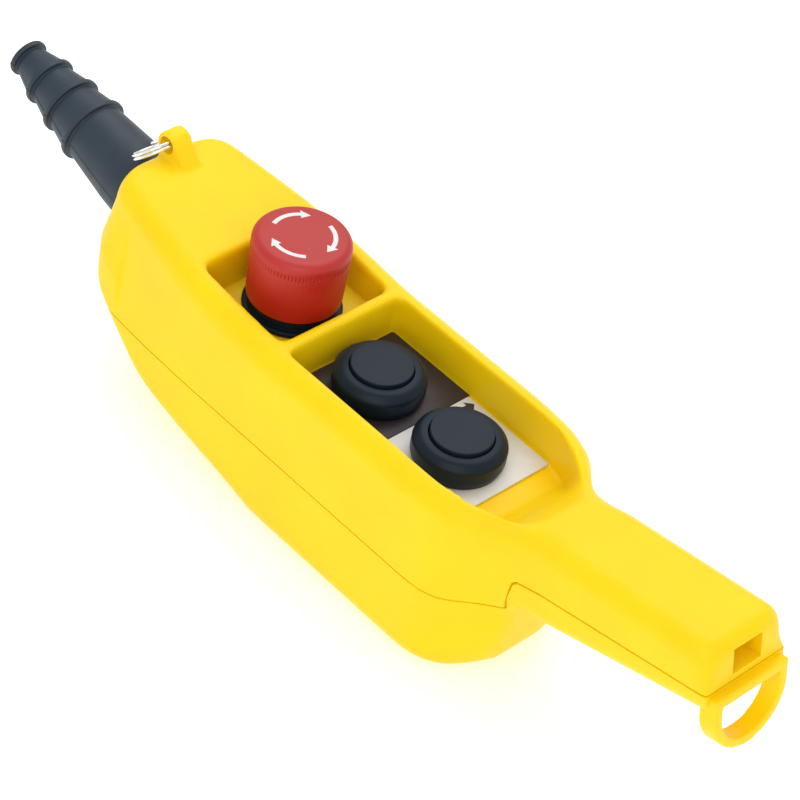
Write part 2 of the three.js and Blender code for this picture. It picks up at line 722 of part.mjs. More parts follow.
// Cable entry.
['left', 'top', 'right', 'bottom'].forEach((side, k) => add(`cable_boot_${side}`, bootQuarter(k), RUBBER));
add('cord_clamp_bar', clampBar(), STEEL);
CLAMP.screws.forEach((y, i) => {
  addAt(`cord_clamp_screw_${i + 1}`, screw(3.2, 1.6, 13), STEEL, CLAMP.x, y, CLAMP.low - GAP);
});

// Suspension ring through the lug.
const ringHeight = RING.turns * RING.pitch + 2 * RING.wire;
const ring = coil(RING.radius, RING.wire, RING.turns, -ringHeight / 2, ringHeight / 2, 60, 6);
ring.rotateZ(0.4).rotateY(Math.PI / 2).translate(0, RING.y, -RING.offset).rotateY(RING_TILT);
add('suspension_ring', ring.translate(LUG.x, 0, LUG.z), STEEL);

// Legend plates.
const { start, end, half } = ESTOP_RECESS;
const estopPlate = legendPlate(start + 1, end - 1, ESTOP_X, ESTOP_PLATE_Z, half - 1.1, 1, 1);
add('estop_legend_plate', estopPlate, [0xe9c400, 0.5]);
const edge = BUTTON_PITCH / 2;
const plateStart = BUTTON_RECESS.start + 0.8;
add('legend_plate_black', legendPlate(plateStart, edge - GAP / 2, 0, PLATE_Z, PLATE.half, 1, 0), BLACK);
const whitePlate = legendPlate(edge + GAP / 2, edge + BUTTON_PITCH, BUTTON_PITCH, PLATE_Z, 27.6, 0, 0);
const PLATE_TOP = PLATE_Z + PLATE.thick;
const GLYPH = { length: 7.6, width: 6.2, x: 26.9, y: 26.4 };
const glyph = (low, high, spare) => {
  return raised(straightArrow(GLYPH.length, GLYPH.width, spare), low, high).translate(GLYPH.x, GLYPH.y, 0);
};
add('legend_plate_white', cut(solid(whitePlate), solid(glyph(PLATE_TOP - 0.7, PLATE_TOP + 2, GAP))), WHITE);
add('legend_arrow', glyph(PLATE_TOP - 0.4, PLATE_TOP + 0.1, 0), BLACK);

// Push-buttons.
BUTTON_X.forEach((x, i) => {
  const name = `button_${i + 1}`;
  addAt(`${name}_bezel`, bezel(), BLACK, x);
  addAt(`${name}_cap`, cap(), BLACK, x);
  addAt(`${name}_plunger`, plunger(CAP.low - GAP), GREY, x);
  addAt(`${name}_spring`, coil(8, 0.6, 4, BEZEL.seat + GAP, CAP.low - GAP, 44, 5), STEEL, x);
  addAt(`${name}_nut`, nut(FLOOR_Z), GREY, x);
  addAt(`${name}_contact_block`, contactBlock(), GREY, x);
  addAt(`${name}_contact_bridge`, bridge(), BRASS, x);
  addTerminals(name, x);
});

// Emergency stop.
addAt('estop_collar', estopCollar(), BLACK, ESTOP_X);
addAt('estop_head', estopHead(), RED, ESTOP_X);
arrows(HEAD.high - ARROW.depth + GAP, HEAD.high + 0.1, 0).forEach((shape, k) => {
  addAt(`estop_arrow_${k + 1}`, shape, WHITE, ESTOP_X);
});
addAt('estop_shaft', estopShaft(), GREY, ESTOP_X);
addAt('estop_spring', coil(8.2, 0.7, 5, COLLAR.seat + GAP, HEAD.low + 2.5 - GAP, 55, 5), STEEL, ESTOP_X);
addAt('estop_nut', nut(ESTOP_FLOOR_Z), GREY, ESTOP_X);
addAt('estop_contact_block', contactBlock(), GREY, ESTOP_X);
addAt('estop_contact_bridge', bridge(), BRASS, ESTOP_X);
addTerminals('estop', ESTOP_X);

export default station;
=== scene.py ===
"""A hand-held pendant control station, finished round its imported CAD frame.

The shape functions work in millimetres, in the frame of the CAD model, and solid_object turns them into
metres. X runs towards the grip, Z comes out of the control face.
"""
import json
import math

import bmesh
import bpy
import numpy as np
from mathutils import Matrix, Vector


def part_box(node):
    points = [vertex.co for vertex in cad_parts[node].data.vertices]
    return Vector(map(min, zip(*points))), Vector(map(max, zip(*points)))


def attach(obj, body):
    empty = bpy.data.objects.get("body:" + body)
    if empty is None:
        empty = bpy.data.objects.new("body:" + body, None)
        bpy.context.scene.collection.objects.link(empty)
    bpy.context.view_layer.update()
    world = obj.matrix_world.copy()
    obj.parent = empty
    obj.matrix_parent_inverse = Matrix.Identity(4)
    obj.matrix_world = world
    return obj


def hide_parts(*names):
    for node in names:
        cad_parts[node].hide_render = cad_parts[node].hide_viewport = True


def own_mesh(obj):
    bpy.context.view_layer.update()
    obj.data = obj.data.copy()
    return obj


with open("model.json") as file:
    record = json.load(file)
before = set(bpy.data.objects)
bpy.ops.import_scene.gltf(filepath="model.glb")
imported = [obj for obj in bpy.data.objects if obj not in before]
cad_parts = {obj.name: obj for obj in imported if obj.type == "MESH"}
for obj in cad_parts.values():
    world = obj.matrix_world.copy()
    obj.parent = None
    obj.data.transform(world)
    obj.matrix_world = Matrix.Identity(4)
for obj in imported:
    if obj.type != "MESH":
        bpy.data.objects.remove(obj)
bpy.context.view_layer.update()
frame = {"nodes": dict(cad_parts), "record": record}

MM = 0.001


def lowest(node, axis):
    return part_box(node)[0][axis] / MM


def highest(node, axis):
    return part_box(node)[1][axis] / MM


def middle(node, axis):
    return (lowest(node, axis) + highest(node, axis)) / 2


# ---------------------------------------------------------------- sizes that the frame gives

BUTTONS = {f"button_{i}": middle(f"button_{i}_cap", 0) for i in (1, 2)}
ESTOP_X = middle("estop_collar", 0)
HEAD_TOP = highest("estop_head", 2)
HEAD_LOW = lowest("estop_head", 2)
HEAD_RADIUS = (highest("estop_head", 1) - lowest("estop_head", 1)) / 2
CAP_LOW = lowest("button_1_cap", 2)
CAP_TOP = highest("button_1_cap", 2)
CAP_RADIUS = (highest("button_1_cap", 0) - lowest("button_1_cap", 0)) / 2
BEZEL_RADIUS = (highest("button_1_bezel", 0) - lowest("button_1_bezel", 0)) / 2
BEZEL_TOP = highest("button_1_bezel", 2)
PLATE_LOW = lowest("legend_plate_black", 2)
PLATE_TOP = highest("legend_plate_black", 2)
ESTOP_PLATE_LOW = lowest("estop_legend_plate", 2)
ESTOP_PLATE_TOP = highest("estop_legend_plate", 2)
NECK_END = lowest("button_1_bezel", 2)

# ---------------------------------------------------------------- driving sizes of the housing form

GAP = 0.3
FLOOR_Z = PLATE_LOW - GAP
ESTOP_FLOOR_Z = ESTOP_PLATE_LOW - GAP
RIM_Z = 84.2
PART_Z = 39.1
WALL = 3.0
RECESS_WALL = 2.6
RECESS_LEAN = 0.012
NECK_HOLE = 11.4
SCREW_HEAD = 2.6
HEAD_HOLE = 4.1
SHANK_HOLE = 2.3
CABLE_END_X = -134.0
END_ROUND = 8.0
END_CORNER = 13.0
BELLY_END_X = 99.0
RIM_ROUND = 10.0
BACK_ROUND = 9.0
RECESS_CORNER = 3.0
ESTOP_RECESS = (-74.5, -27.9)
ESTOP_RECESS_HALF = 27.6
BUTTON_RECESS = (-22.6, 99.0)
BUTTON_RECESS_HALF = 29.0
RAMP_START = 75.3

GRIP_SLOPE = math.radians(12)
GRIP_END = (191.0, 78.0)
GRIP_LENGTH = 108.0
GRIP_HALF = 21.3
GRIP_PART = 1.2
GRIP_ROUND = 9.0
GRIP_END_ROUND = 7
GRIP_SCREW = 34.0
LOOP_TOP = -0.6
LOOP = {"front": 3.7, "half": 19.4, "band": 4.0, "depth": 8.1, "straight": -9.3}
WINDOW = {"half": 7.5, "low": 3.0, "high": 14.8, "depth": 10.5, "wall": 1.5, "step": 2.6}

BOOT_SLOPE = math.radians(10.9)
BOOT_TIP = (-221.6, 83.5)
BOOT_RIBS = ((1.5, 8.7), (16.3, 11.5), (31.0, 13.6), (46.0, 15.4))
BOOT_BASE = {"at": 88.0, "radius": 16.7, "flange": 18.7, "step": 98.5, "end": 102.5}
LUG = {"x": -128.8, "z": 99.9, "low": -3.0, "high": 6.0, "radius": 5.7, "hole": 3.8}
RING = {"radius": 10.4, "wire": 0.7, "turns": 2, "pitch": 1.55, "offset": 8.18, "y": -2.2}
RING_TILT = math.radians(48)
RING_ROLL = 0.4

TOP_LINE = ((-140, 96), (-90, 90.7), (-45, 86), (-20, RIM_Z), (62, RIM_Z), (82, 83.6), (BELLY_END_X, 83))
BACK_LINE = ((-140, 51.5), (-123, 38), (-107, 25.6), (-92, 16), (-75, 11.4), (-40, 4.6), (-16, 0),
             (82, 0), (90, 1.8), (94, 7), (96, 16), (97.5, 30), (BELLY_END_X, 48))
WIDE_TOP = ((-140, 26.5), (-125, 30), (-110, 32.6), (-94, 35.2), (-78, 37.4), (-50, 38.8), (45, 38.8),
            (60, 38.2), (70, 36.8), (78, 34.6), (85, 30.8), (91, 25.5), (BELLY_END_X, 18.5))
WIDE_LOW = ((-140, 34), (-115, 36.8), (-85, 38.6), (-60, 39), (60, 39), (69, 38.4), (76, 36.2),
            (82, 31.6), (88, 25), (94, 19.5), (BELLY_END_X, 16))
RAMP_WIDTH = ((60, BUTTON_RECESS_HALF), (68, 28), (76, 25.6), (84, 21.5), (91, 17), (99, 12))
RAMP_FLOOR = ((0, FLOOR_Z), (RAMP_START, FLOOR_Z), (82, 68.2), (90, 76.5), (99, 83.4))

# ---------------------------------------------------------------- meshes


def solid_object(name, verts, faces):
    mesh = bpy.data.meshes.new(name)
    mesh.from_pydata([tuple(c * MM for c in v) for v in verts], [], faces)
    mesh.update()
    obj = bpy.data.objects.new(name, mesh)
    bpy.context.scene.collection.objects.link(obj)
    bm = bmesh.new()
    bm.from_mesh(mesh)
    bmesh.ops.recalc_face_normals(bm, faces=bm.faces)
    bm.to_mesh(mesh)
    bm.free()
    return obj


def bake_modifiers(obj):
    graph = bpy.context.evaluated_depsgraph_get()
    mesh = bpy.data.meshes.new_from_object(obj.evaluated_get(graph))
    obj.modifiers.clear()
    obj.data = mesh
    return obj


def combine(obj, operation, *tools):
    """Joins or cuts obj with closed tools, which are used up."""
    for tool in tools:
        step = obj.modifiers.new("combine", "BOOLEAN")
        step.operation = operation
        step.solver = "MANIFOLD"
        step.object = tool
        bake_modifiers(obj)
        bpy.data.objects.remove(tool)
    return obj


def cut(obj, *tools):
    return combine(obj, "DIFFERENCE", *tools)


def join(obj, *tools):
    return combine(obj, "UNION", *tools)


def keep(obj, *tools):
    return combine(obj, "INTERSECT", *tools)


def duplicate(obj):
    copy = obj.copy()
    copy.data = obj.data.copy()
    bpy.context.scene.collection.objects.link(copy)
    return copy


def voxels(obj, size):
    step = obj.modifiers.new("voxels", "REMESH")
    step.mode = "VOXEL"
    step.voxel_size = size * MM
    return bake_modifiers(obj)


def relax(obj, passes):
    """Rounds edges by averaging each point with its neighbours. passes(points) gives how many times,
    per point."""
    mesh = obj.data
    count = len(mesh.vertices)
    points = np.empty(count * 3)
    mesh.vertices.foreach_get("co", points)
    points = points.reshape(-1, 3)
    edges = np.empty(len(mesh.edges) * 2, dtype=np.int64)
    mesh.edges.foreach_get("vertices", edges)
    a, b = edges.reshape(-1, 2).T
    share = np.bincount(a, minlength=count) + np.bincount(b, minlength=count)
    wanted = passes(points / MM)
    for turn in range(int(wanted.max())):
        total = np.empty_like(points)
        for axis in range(3):
            total[:, axis] = np.bincount(a, points[b, axis], count) + np.bincount(b, points[a, axis], count)
        weight = 0.5 * np.clip(wanted - turn, 0, 1)[:, None]
        points = points + weight * (total / share[:, None] - points)
    mesh.vertices.foreach_set("co", points.ravel())
    mesh.update()
    return obj


def shade(obj, degrees=35):
    obj.data.shade_smooth()
    obj.data.set_sharp_from_angle(angle=math.radians(degrees))
    return obj


def loft(name, rings):
    sides = len(rings[0])
    verts = [p for ring in rings for p in ring]
    faces = [tuple(range(sides)), tuple(range(len(verts) - sides, len(verts)))]
    for r in range(len(rings) - 1):
        for k in range(sides):
            a, b = r * sides + k, r * sides + (k + 1) % sides
            faces.append((a, b, b + sides, a + sides))
    return solid_object(name, verts, faces)


def prism(name, outline, low, high, place):
    """An outline of (a, b) points spread from low to high; place(a, b, c) gives the point in the frame."""
    return loft(name, [[place(a, b, c) for a, b in outline] for c in (low, high)])


def block(name, x0, x1, y0, y1, z0, z1, place=lambda x, y, z: (x, y, z)):
    outline = ((x0, y0), (x1, y0), (x1, y1), (x0, y1))
    return prism(name, outline, z0, z1, place)


def arc(cx, cy, radius, start, end, steps):
    angles = [start + (end - start) * k / steps for k in range(steps + 1)]
    return [(cx + radius * math.cos(a), cy + radius * math.sin(a)) for a in angles]


def softened(corners, closed=True, steps=5):
    """Outline through (a, b) corners; a corner given as (a, b, radius) is rounded."""
    count = len(corners)
    outline = []
    for i, corner in enumerate(corners):
        here = Vector(corner[:2])
        radius = corner[2] if len(corner) > 2 else 0
        if not radius or (not closed and i in (0, count - 1)):
            outline.append(tuple(here))
            continue
        back = (Vector(corners[i - 1][:2]) - here).normalized()
        ahead = (Vector(corners[(i + 1) % count][:2]) - here).normalized()
        half = back.angle(ahead) / 2
        reach = radius / math.tan(half)
        centre = here + (back + ahead).normalized() * (radius / math.sin(half))
        first, last = here + back * reach - centre, here + ahead * reach - centre
        swing = first.angle_signed(last)
        for k in range(steps + 1):
            turn = -swing * k / steps
            outline.append(tuple(centre + Matrix.Rotation(turn, 2) @ first))
    return outline


def upright(x=0.0, y=0.0, z=0.0):
    return lambda a, b, c: (x + a, y + b, z + c)


def on_boot(a, b, c):
    """From the boot's own axis, c from its tip towards the housing, to the frame."""
    s, t = math.sin(BOOT_SLOPE), math.cos(BOOT_SLOPE)
    return (BOOT_TIP[0] + c * t + a * s, b, BOOT_TIP[1] - c * s + a * t)


def on_grip(a, b, c):
    """From the grip's own axes, a out of its end face and c up, to the frame."""
    s, t = math.sin(GRIP_SLOPE), math.cos(GRIP_SLOPE)
    return (GRIP_END[0] + a * t - c * s, b, GRIP_END[1] + a * s + c * t)


def turned(name, profile, segments, place=upright(), closed=False, wave=None):
    """Revolves (radius, height) points. An open profile starts and ends on the axis; a closed one is a ring.
    wave(radius, height, k) changes the radius of the k-th point round the axis."""
    verts, faces, rows = [], [], []
    for radius, height in profile:
        if radius < 1e-6:
            rows.append([len(verts)] * segments)
            verts.append(place(0, 0, height))
            continue
        rows.append([len(verts) + k for k in range(segments)])
        for k in range(segments):
            r = wave(radius, height, k) if wave else radius
            angle = 2 * math.pi * k / segments
            verts.append(place(r * math.cos(angle), r * math.sin(angle), height))
    pairs = list(zip(rows, rows[1:]))
    if closed:
        pairs.append((rows[-1], rows[0]))
    for low, high in pairs:
        for k in range(segments):
            n = (k + 1) % segments
            face = dict.fromkeys((low[k], low[n], high[n], high[k]))
            if len(face) > 2:
                faces.append(tuple(face))
    return solid_object(name, verts, faces)


def rod(name, radius, low, high, place, segments=48):
    return turned(name, ((0, low), (radius, low), (radius, high), (0, high)), segments, place)


def tube_along(name, path, radius, sides):
    """A round wire through path, with domed ends."""
    path = [Vector(p) for p in path]
    normal = None
    rings = []
    for i, point in enumerate(path):
        tangent = (path[min(i + 1, len(path) - 1)] - path[max(i - 1, 0)]).normalized()
        normal = tangent.orthogonal().normalized() if normal is None else normal
        normal = (normal - tangent * normal.dot(tangent)).normalized()
        side = tangent.cross(normal)
        edge = min(i, len(path) - 1 - i)
        r = radius * (0.55, 0.9)[edge] if edge < 2 else radius
        rings.append([tuple(point + normal * (r * math.cos(a)) + side * (r * math.sin(a)))
                      for a in (2 * math.pi * k / sides for k in range(sides))])
    return loft(name, rings)


def helix(radius, turns, low, high, steps):
    for k in range(steps + 1):
        t = k / steps
        angle = 2 * math.pi * turns * t
        yield radius * math.cos(angle), radius * math.sin(angle), low + t * (high - low)


# ---------------------------------------------------------------- materials


class Look:
    """A procedural finish: colour, roughness and relief that vary over the surface."""

    def __init__(self, name, colour, roughness, metallic=0.0, specular=0.5):
        self.material = bpy.data.materials.new(name)
        self.material.use_nodes = True
        self.tree = self.material.node_tree
        self.shader = self.tree.nodes["Principled BSDF"]
        self.colour = colour
        self.roughness = roughness
        self.place = self.node("ShaderNodeTexCoord").outputs["Object"]
        self.shader.inputs["Metallic"].default_value = metallic
        self.shader.inputs["Specular IOR Level"].default_value = specular

    def node(self, kind, **values):
        made = self.tree.nodes.new(kind)
        for name, value in values.items():
            setattr(made, name, value)
        return made

    def link(self, source, target):
        self.tree.links.new(source, target)

    def noise(self, scale, detail=3.0, stretch=None):
        made = self.node("ShaderNodeTexNoise")
        made.inputs["Scale"].default_value = scale
        made.inputs["Detail"].default_value = detail
        if stretch:
            mapping = self.node("ShaderNodeMapping")
            mapping.inputs["Scale"].default_value = stretch
            self.link(self.place, mapping.inputs["Vector"])
            self.link(mapping.outputs["Vector"], made.inputs["Vector"])
        else:
            self.link(self.place, made.inputs["Vector"])
        return made.outputs["Fac"]

    def tint(self, factor, spread):
        """Base colour from a little darker to a little lighter as factor goes from low to high."""
        ramp = self.node("ShaderNodeValToRGB")
        ramp.color_ramp.elements[0].position = 0.3
        ramp.color_ramp.elements[1].position = 0.7
        for element, share in zip(ramp.color_ramp.elements, (1 - spread, 1 + spread)):
            element.color = (*(min(1.0, c * share) for c in self.colour), 1)
        self.link(factor, ramp.inputs["Fac"])
        self.link(ramp.outputs["Color"], self.shader.inputs["Base Color"])
        return self

    def gloss(self, factor, spread):
        ramp = self.node("ShaderNodeMapRange")
        ramp.inputs["To Min"].default_value = self.roughness - spread
        ramp.inputs["To Max"].default_value = self.roughness + spread
        self.link(factor, ramp.inputs["Value"])
        self.link(ramp.outputs["Result"], self.shader.inputs["Roughness"])
        return self

    def relief(self, height, strength, depth):
        bump = self.node("ShaderNodeBump")
        bump.inputs["Strength"].default_value = strength
        bump.inputs["Distance"].default_value = depth * MM
        self.link(height, bump.inputs["Height"])
        self.link(bump.outputs["Normal"], self.shader.inputs["Normal"])
        return self


def moulded(name, colour, roughness, strength=0.25, specular=0.5, glow=0.0):
    """Injection-moulded plastic: slight flow marks and a fine spark-eroded grain. Light that enters it
    comes out again a little way off, by the share given as glow."""
    look = Look(name, colour, roughness, specular=specular)
    look.shader.inputs["Subsurface Weight"].default_value = glow
    look.shader.inputs["Subsurface Radius"].default_value = (1.0, 0.4, 0.03)
    look.shader.inputs["Subsurface Scale"].default_value = 1.5 * MM
    look.tint(look.noise(28, 2), 0.035)
    look.gloss(look.noise(90, 4), 0.05)
    look.relief(look.noise(2200, 2), strength, 0.02)
    return look.material


def rubber(name, colour):
    look = Look(name, colour, 0.5, specular=0.45)
    look.tint(look.noise(60, 5), 0.12)
    look.gloss(look.noise(140, 5), 0.08)
    look.relief(look.noise(1500, 4), 0.35, 0.03)
    return look.material


def metal(name, colour, roughness):
    """Polished metal with fine marks that change quickly along Z and slowly across it."""
    stretch = (60, 60, 900)
    look = Look(name, colour, roughness, metallic=1.0)
    look.tint(look.noise(8, 3), 0.05)
    look.gloss(look.noise(6, 4, stretch), 0.07)
    look.relief(look.noise(5, 3, stretch), 0.08, 0.02)
    return look.material


def printed(name, colour, roughness=0.55):
    """Legend sheet or ink: even colour with faint mottling and a soft sheen."""
    look = Look(name, colour, roughness, specular=0.4)
    look.tint(look.noise(160, 3), 0.03)
    look.gloss(look.noise(70, 3), 0.05)
    look.relief(look.noise(900, 2), 0.1, 0.01)
    return look.material


MATERIALS = {
    "yellow_plastic": moulded("yellow_plastic", (0.93, 0.62, 0.0015), 0.42, strength=0.2,
                              specular=0.22, glow=0.25),
    "red_plastic": moulded("red_plastic", (0.42, 0.005, 0.001), 0.5, strength=0.15, specular=0.6),
    "black_plastic": moulded("black_plastic", (0.003, 0.011, 0.021), 0.4, strength=0.2, specular=0.2),
    "boot_rubber": rubber("boot_rubber", (0.013, 0.027, 0.043)),
    "white_legend": printed("white_legend", (0.70, 0.71, 0.71)),
    "black_legend": printed("black_legend", (0.034, 0.024, 0.030), 0.48),
    "yellow_legend": printed("yellow_legend", (0.86, 0.60, 0.01)),
    "grey_plastic": moulded("grey_plastic", (0.10, 0.105, 0.115), 0.5),
    "zinc_steel": metal("zinc_steel", (0.62, 0.62, 0.60), 0.34),
    "chrome": metal("chrome", (0.86, 0.87, 0.88), 0.12),
    "spring_steel": metal("spring_steel", (0.45, 0.45, 0.46), 0.3),
    "brass": metal("brass", (0.72, 0.50, 0.20), 0.3),
}


def finish(obj, slot, body, *nodes):
    """Gives a piece its material and its body, and hides the CAD nodes that it stands for."""
    obj.data.materials.clear()
    obj.data.materials.append(MATERIALS[slot])
    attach(obj, body)
    if nodes:
        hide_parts(*nodes)
    return obj


def dress_cad_nodes():
    """The inner pieces keep their CAD shape and take the same finishes."""
    for entry in frame["record"]["subparts"]:
        obj = frame["nodes"][entry["node"]]
        obj.data.materials.clear()
        obj.data.materials.append(MATERIALS[entry["material_slot"]])


# ---------------------------------------------------------------- housing form


def follow(points, x):
    """Smooth curve through (x, value) points that never overshoots them."""
    if x <= points[0][0]:
        return points[0][1]
    if x >= points[-1][0]:
        return points[-1][1]
    slopes = [(b[1] - a[1]) / (b[0] - a[0]) for a, b in zip(points, points[1:])]

    def tangent(i):
        if i in (0, len(points) - 1):
            return slopes[0] if i == 0 else slopes[-1]
        a, b = slopes[i - 1], slopes[i]
        return 0 if a * b <= 0 else 2 * a * b / (a + b)

    i = next(k for k, p in enumerate(points) if p[0] > x) - 1
    width = points[i + 1][0] - points[i][0]
    t = (x - points[i][0]) / width
    rise = points[i + 1][1] - points[i][1]
    bend = tangent(i) * t * (1 - t) ** 2 + tangent(i + 1) * t * t * (t - 1)
    return points[i][1] + rise * t * t * (3 - 2 * t) + width * bend


def ease(radius, past):
    """How far a rounding draws a surface in, this far past where it begins."""
    return radius - math.sqrt(max(0, radius ** 2 - max(0, past) ** 2))


def rounded_section(top, bottom, wide_top, wide_low, waist, round_top, round_low, steps):
    half = [(0, bottom)]
    for k in range(steps + 1):
        a = k / steps * math.pi / 2
        half.append((wide_low - round_low * (1 - math.sin(a)), bottom + round_low * (1 - math.cos(a))))
    shoulder = top - round_top
    if not bottom + round_low + 1 < waist < shoulder - 1:
        waist = (bottom + round_low) * 0.6 + shoulder * 0.4
    half.append((wide_low, waist))
    for k in range(steps + 1):
        a = k / steps * math.pi / 2
        half.append((wide_top - round_top * (1 - math.cos(a)), shoulder + round_top * math.sin(a)))
    half.append((0, top))
    return half + [(-y, z) for y, z in reversed(half[1:-1])]


def body_section(x, inset, steps):
    rounding = inset + ease(END_ROUND, CABLE_END_X + END_ROUND - x)
    pull = inset + ease(END_CORNER, CABLE_END_X + END_CORNER - x)
    top = follow(TOP_LINE, x) - rounding
    bottom = follow(BACK_LINE, x) + rounding
    limit = (top - bottom) / 2 - 2
    round_top = min(max(1, RIM_ROUND - inset), limit)
    round_low = min(max(1, min(BACK_ROUND, 17 + BELLY_END_X - x) - inset), limit)
    section = rounded_section(top, bottom, follow(WIDE_TOP, x) - pull, follow(WIDE_LOW, x) - pull,
                              PART_Z, round_top, round_low, steps)
    return [(x, y, z) for y, z in section]


def grip_section(along, inset, steps):
    pull = inset + ease(GRIP_END_ROUND, GRIP_END_ROUND - along)
    section = rounded_section(19.8 + 0.05 * along - pull, -9.2 - 0.079 * along + inset,
                              GRIP_HALF - pull, GRIP_HALF - inset, GRIP_PART,
                              GRIP_ROUND - inset, GRIP_ROUND - inset, steps)
    return [on_grip(-along, y, v) for y, v in section]


def spaced(start, end, step):
    count = max(1, round((end - start) / step))
    return [start + (end - start) * k / count for k in range(count + 1)]


def rounding_stations(end, radius, count):
    """Places past a rounded end, closer together where it turns fastest."""
    return [end + radius * (1 - math.cos(k / count * math.pi / 2)) for k in range(count)]


def body_form(inset, fine):
    start, end = CABLE_END_X + inset, BELLY_END_X - inset
    steps, gap = (14, 2.5) if fine else (5, 8)
    stations = rounding_stations(start, END_CORNER, 14 if fine else 3)
    stations += spaced(start + END_CORNER, 74, gap) + spaced(75, end, gap / 2)
    return loft("body_form", [body_section(x, inset, steps) for x in stations])


def grip_form(inset, fine):
    steps, count = (14, 12) if fine else (5, 2)
    start = inset + (0.05 if fine else 0)
    stations = rounding_stations(start, GRIP_END_ROUND, count) if fine else [start]
    stations += spaced(start + GRIP_END_ROUND, GRIP_LENGTH, 4)
    return loft("grip_form", [grip_section(s, inset, steps) for s in reversed(stations)])


def rounded_end(x, side, radius, half, grow):
    """Stations and half widths of a recess's closed end, rounded in plan."""
    return [(x + side * radius * (1 - math.cos(a)), half + grow - radius * (1 - math.sin(a)))
            for a in (k / 6 * math.pi / 2 for k in range(7))]


def recess_form(name, line, floor, grow):
    """Cut with walls that lean out a little towards the rim."""
    top = 120
    rings = []
    for x, half in line:
        low = floor(x) - grow
        lean = RECESS_LEAN * (top - low)
        rings.append([(x, -half, low), (x, half, low), (x, half + lean, top), (x, -half - lean, top)])
    return loft(name, rings)


def estop_recess(grow=0.0):
    start, end = ESTOP_RECESS
    line = rounded_end(start - grow, 1, RECESS_CORNER, ESTOP_RECESS_HALF, grow)
    line += rounded_end(end + grow, -1, RECESS_CORNER, ESTOP_RECESS_HALF, grow)[::-1]
    return recess_form("estop_recess", line, lambda x: ESTOP_FLOOR_Z, grow)


def button_recess(grow=0.0):
    start, end = BUTTON_RECESS
    line = rounded_end(start - grow, 1, RECESS_CORNER, BUTTON_RECESS_HALF, grow)
    line += [(x, follow(RAMP_WIDTH, x) + grow) for x in spaced(-10, end, 2.2)]
    return recess_form("button_recess", line, lambda x: follow(RAMP_FLOOR, x), grow)


def lug_block():
    outline = [(LUG["x"] - 3.5, 89), (-115.8, 89), (-115.8, 92.6)]
    outline += arc(LUG["x"], LUG["z"], LUG["radius"], 0.75, math.pi, 24)
    return prism("lug", outline, LUG["low"], LUG["high"], lambda a, b, c: (a, c, b))


def between(value, low, high):
    """0 below low and 1 above high, smoothly."""
    t = np.clip((value - low) / (high - low), 0, 1)
    return t * t * (3 - 2 * t)


def rounding_passes(points):
    """Where the moulding is rounded most: along the rim and where the grip leaves the body."""
    x, y, z = points.T
    rim = between(z, 76, 81) * between(-x, -72, -60) * between(x, -88, -80)
    neck = between(x, 80, 92) * between(-x, -118, -106)
    corner = neck * between(np.abs(y), 10, 15)
    ramp = between(x, 70, 76) * between(z, 66, 70) * between(-x, -112, -104)
    return 5 + 26 * rim + 40 * ramp + 150 * corner


def joint_side(side, overlap=-GAP / 2):
    """Everything on one side of the joint between the shells, and this far past it."""
    shift = -side * overlap
    line = [(-160, PART_Z), (96, PART_Z), (99, 57), (101.2, 59.2)]
    line += [(x, z) for x, _, z in (on_grip(-80, 0, GRIP_PART), on_grip(12, 0, GRIP_PART))]
    line = [(x - shift, z + shift) for x, z in line]
    far = 160 if side > 0 else -60
    outline = line + [(line[-1][0], far), (line[0][0], far)]
    return prism("joint_side", outline, -70, 70, lambda a, b, c: (a, c, b))


def seam_groove():
    """Shallow band along the joint, just under the surface, that gives both shells a soft edge there."""
    half = 0.35
    band = keep(joint_side(-1, half), joint_side(1, half))
    return cut(band, body_form(0.45, True), grip_form(0.45, True))


def across_grip(name, outline, front, depth):
    return prism(name, outline, front - depth, front, lambda a, b, c: on_grip(c, a, b))


def lanyard_loop():
    """U-shaped strap under the end of the grip, rounded all over."""
    def outline(half, top):
        bend = arc(0, LOOP["straight"], half, math.pi, 2 * math.pi, 48)
        return [(-half, top)] + bend + [(half, top)]

    inner = LOOP["half"] - LOOP["band"]
    loop = across_grip("loop", outline(LOOP["half"], LOOP_TOP), LOOP["front"], LOOP["depth"])
    cut(loop, across_grip("eye", outline(inner, LOOP_TOP - 3.8), LOOP["front"] + 4, LOOP["depth"] + 8))
    return relax(voxels(loop, 0.5), lambda points: np.full(len(points), 6.0))


def housing_screws():
    """Place and seat of each housing screw, from the frame."""
    for i in range(1, 7):
        node = f"housing_screw_{i}"
        yield node, middle(node, 0), middle(node, 1), lowest(node, 2) + SCREW_HEAD


def grip_pocket(wall, front):
    """Blind pocket behind the window in the grip's end face, its mouth flared, or the walls round it."""
    half, deep = WINDOW["half"] + wall, WINDOW["depth"] + wall
    low, high = WINDOW["low"] - wall, WINDOW["high"] + wall
    back_low = low if wall else low + WINDOW["step"]
    back = ((-half, back_low), (half, back_low), (half, high), (-half, high))
    mouth = ((-half, low), (half, low), (half, high), (-half, high))
    rings = [[on_grip(x, y, z) for y, z in outline] for x, outline in ((-deep, back), (front, mouth))]
    return loft("grip_pocket", rings)


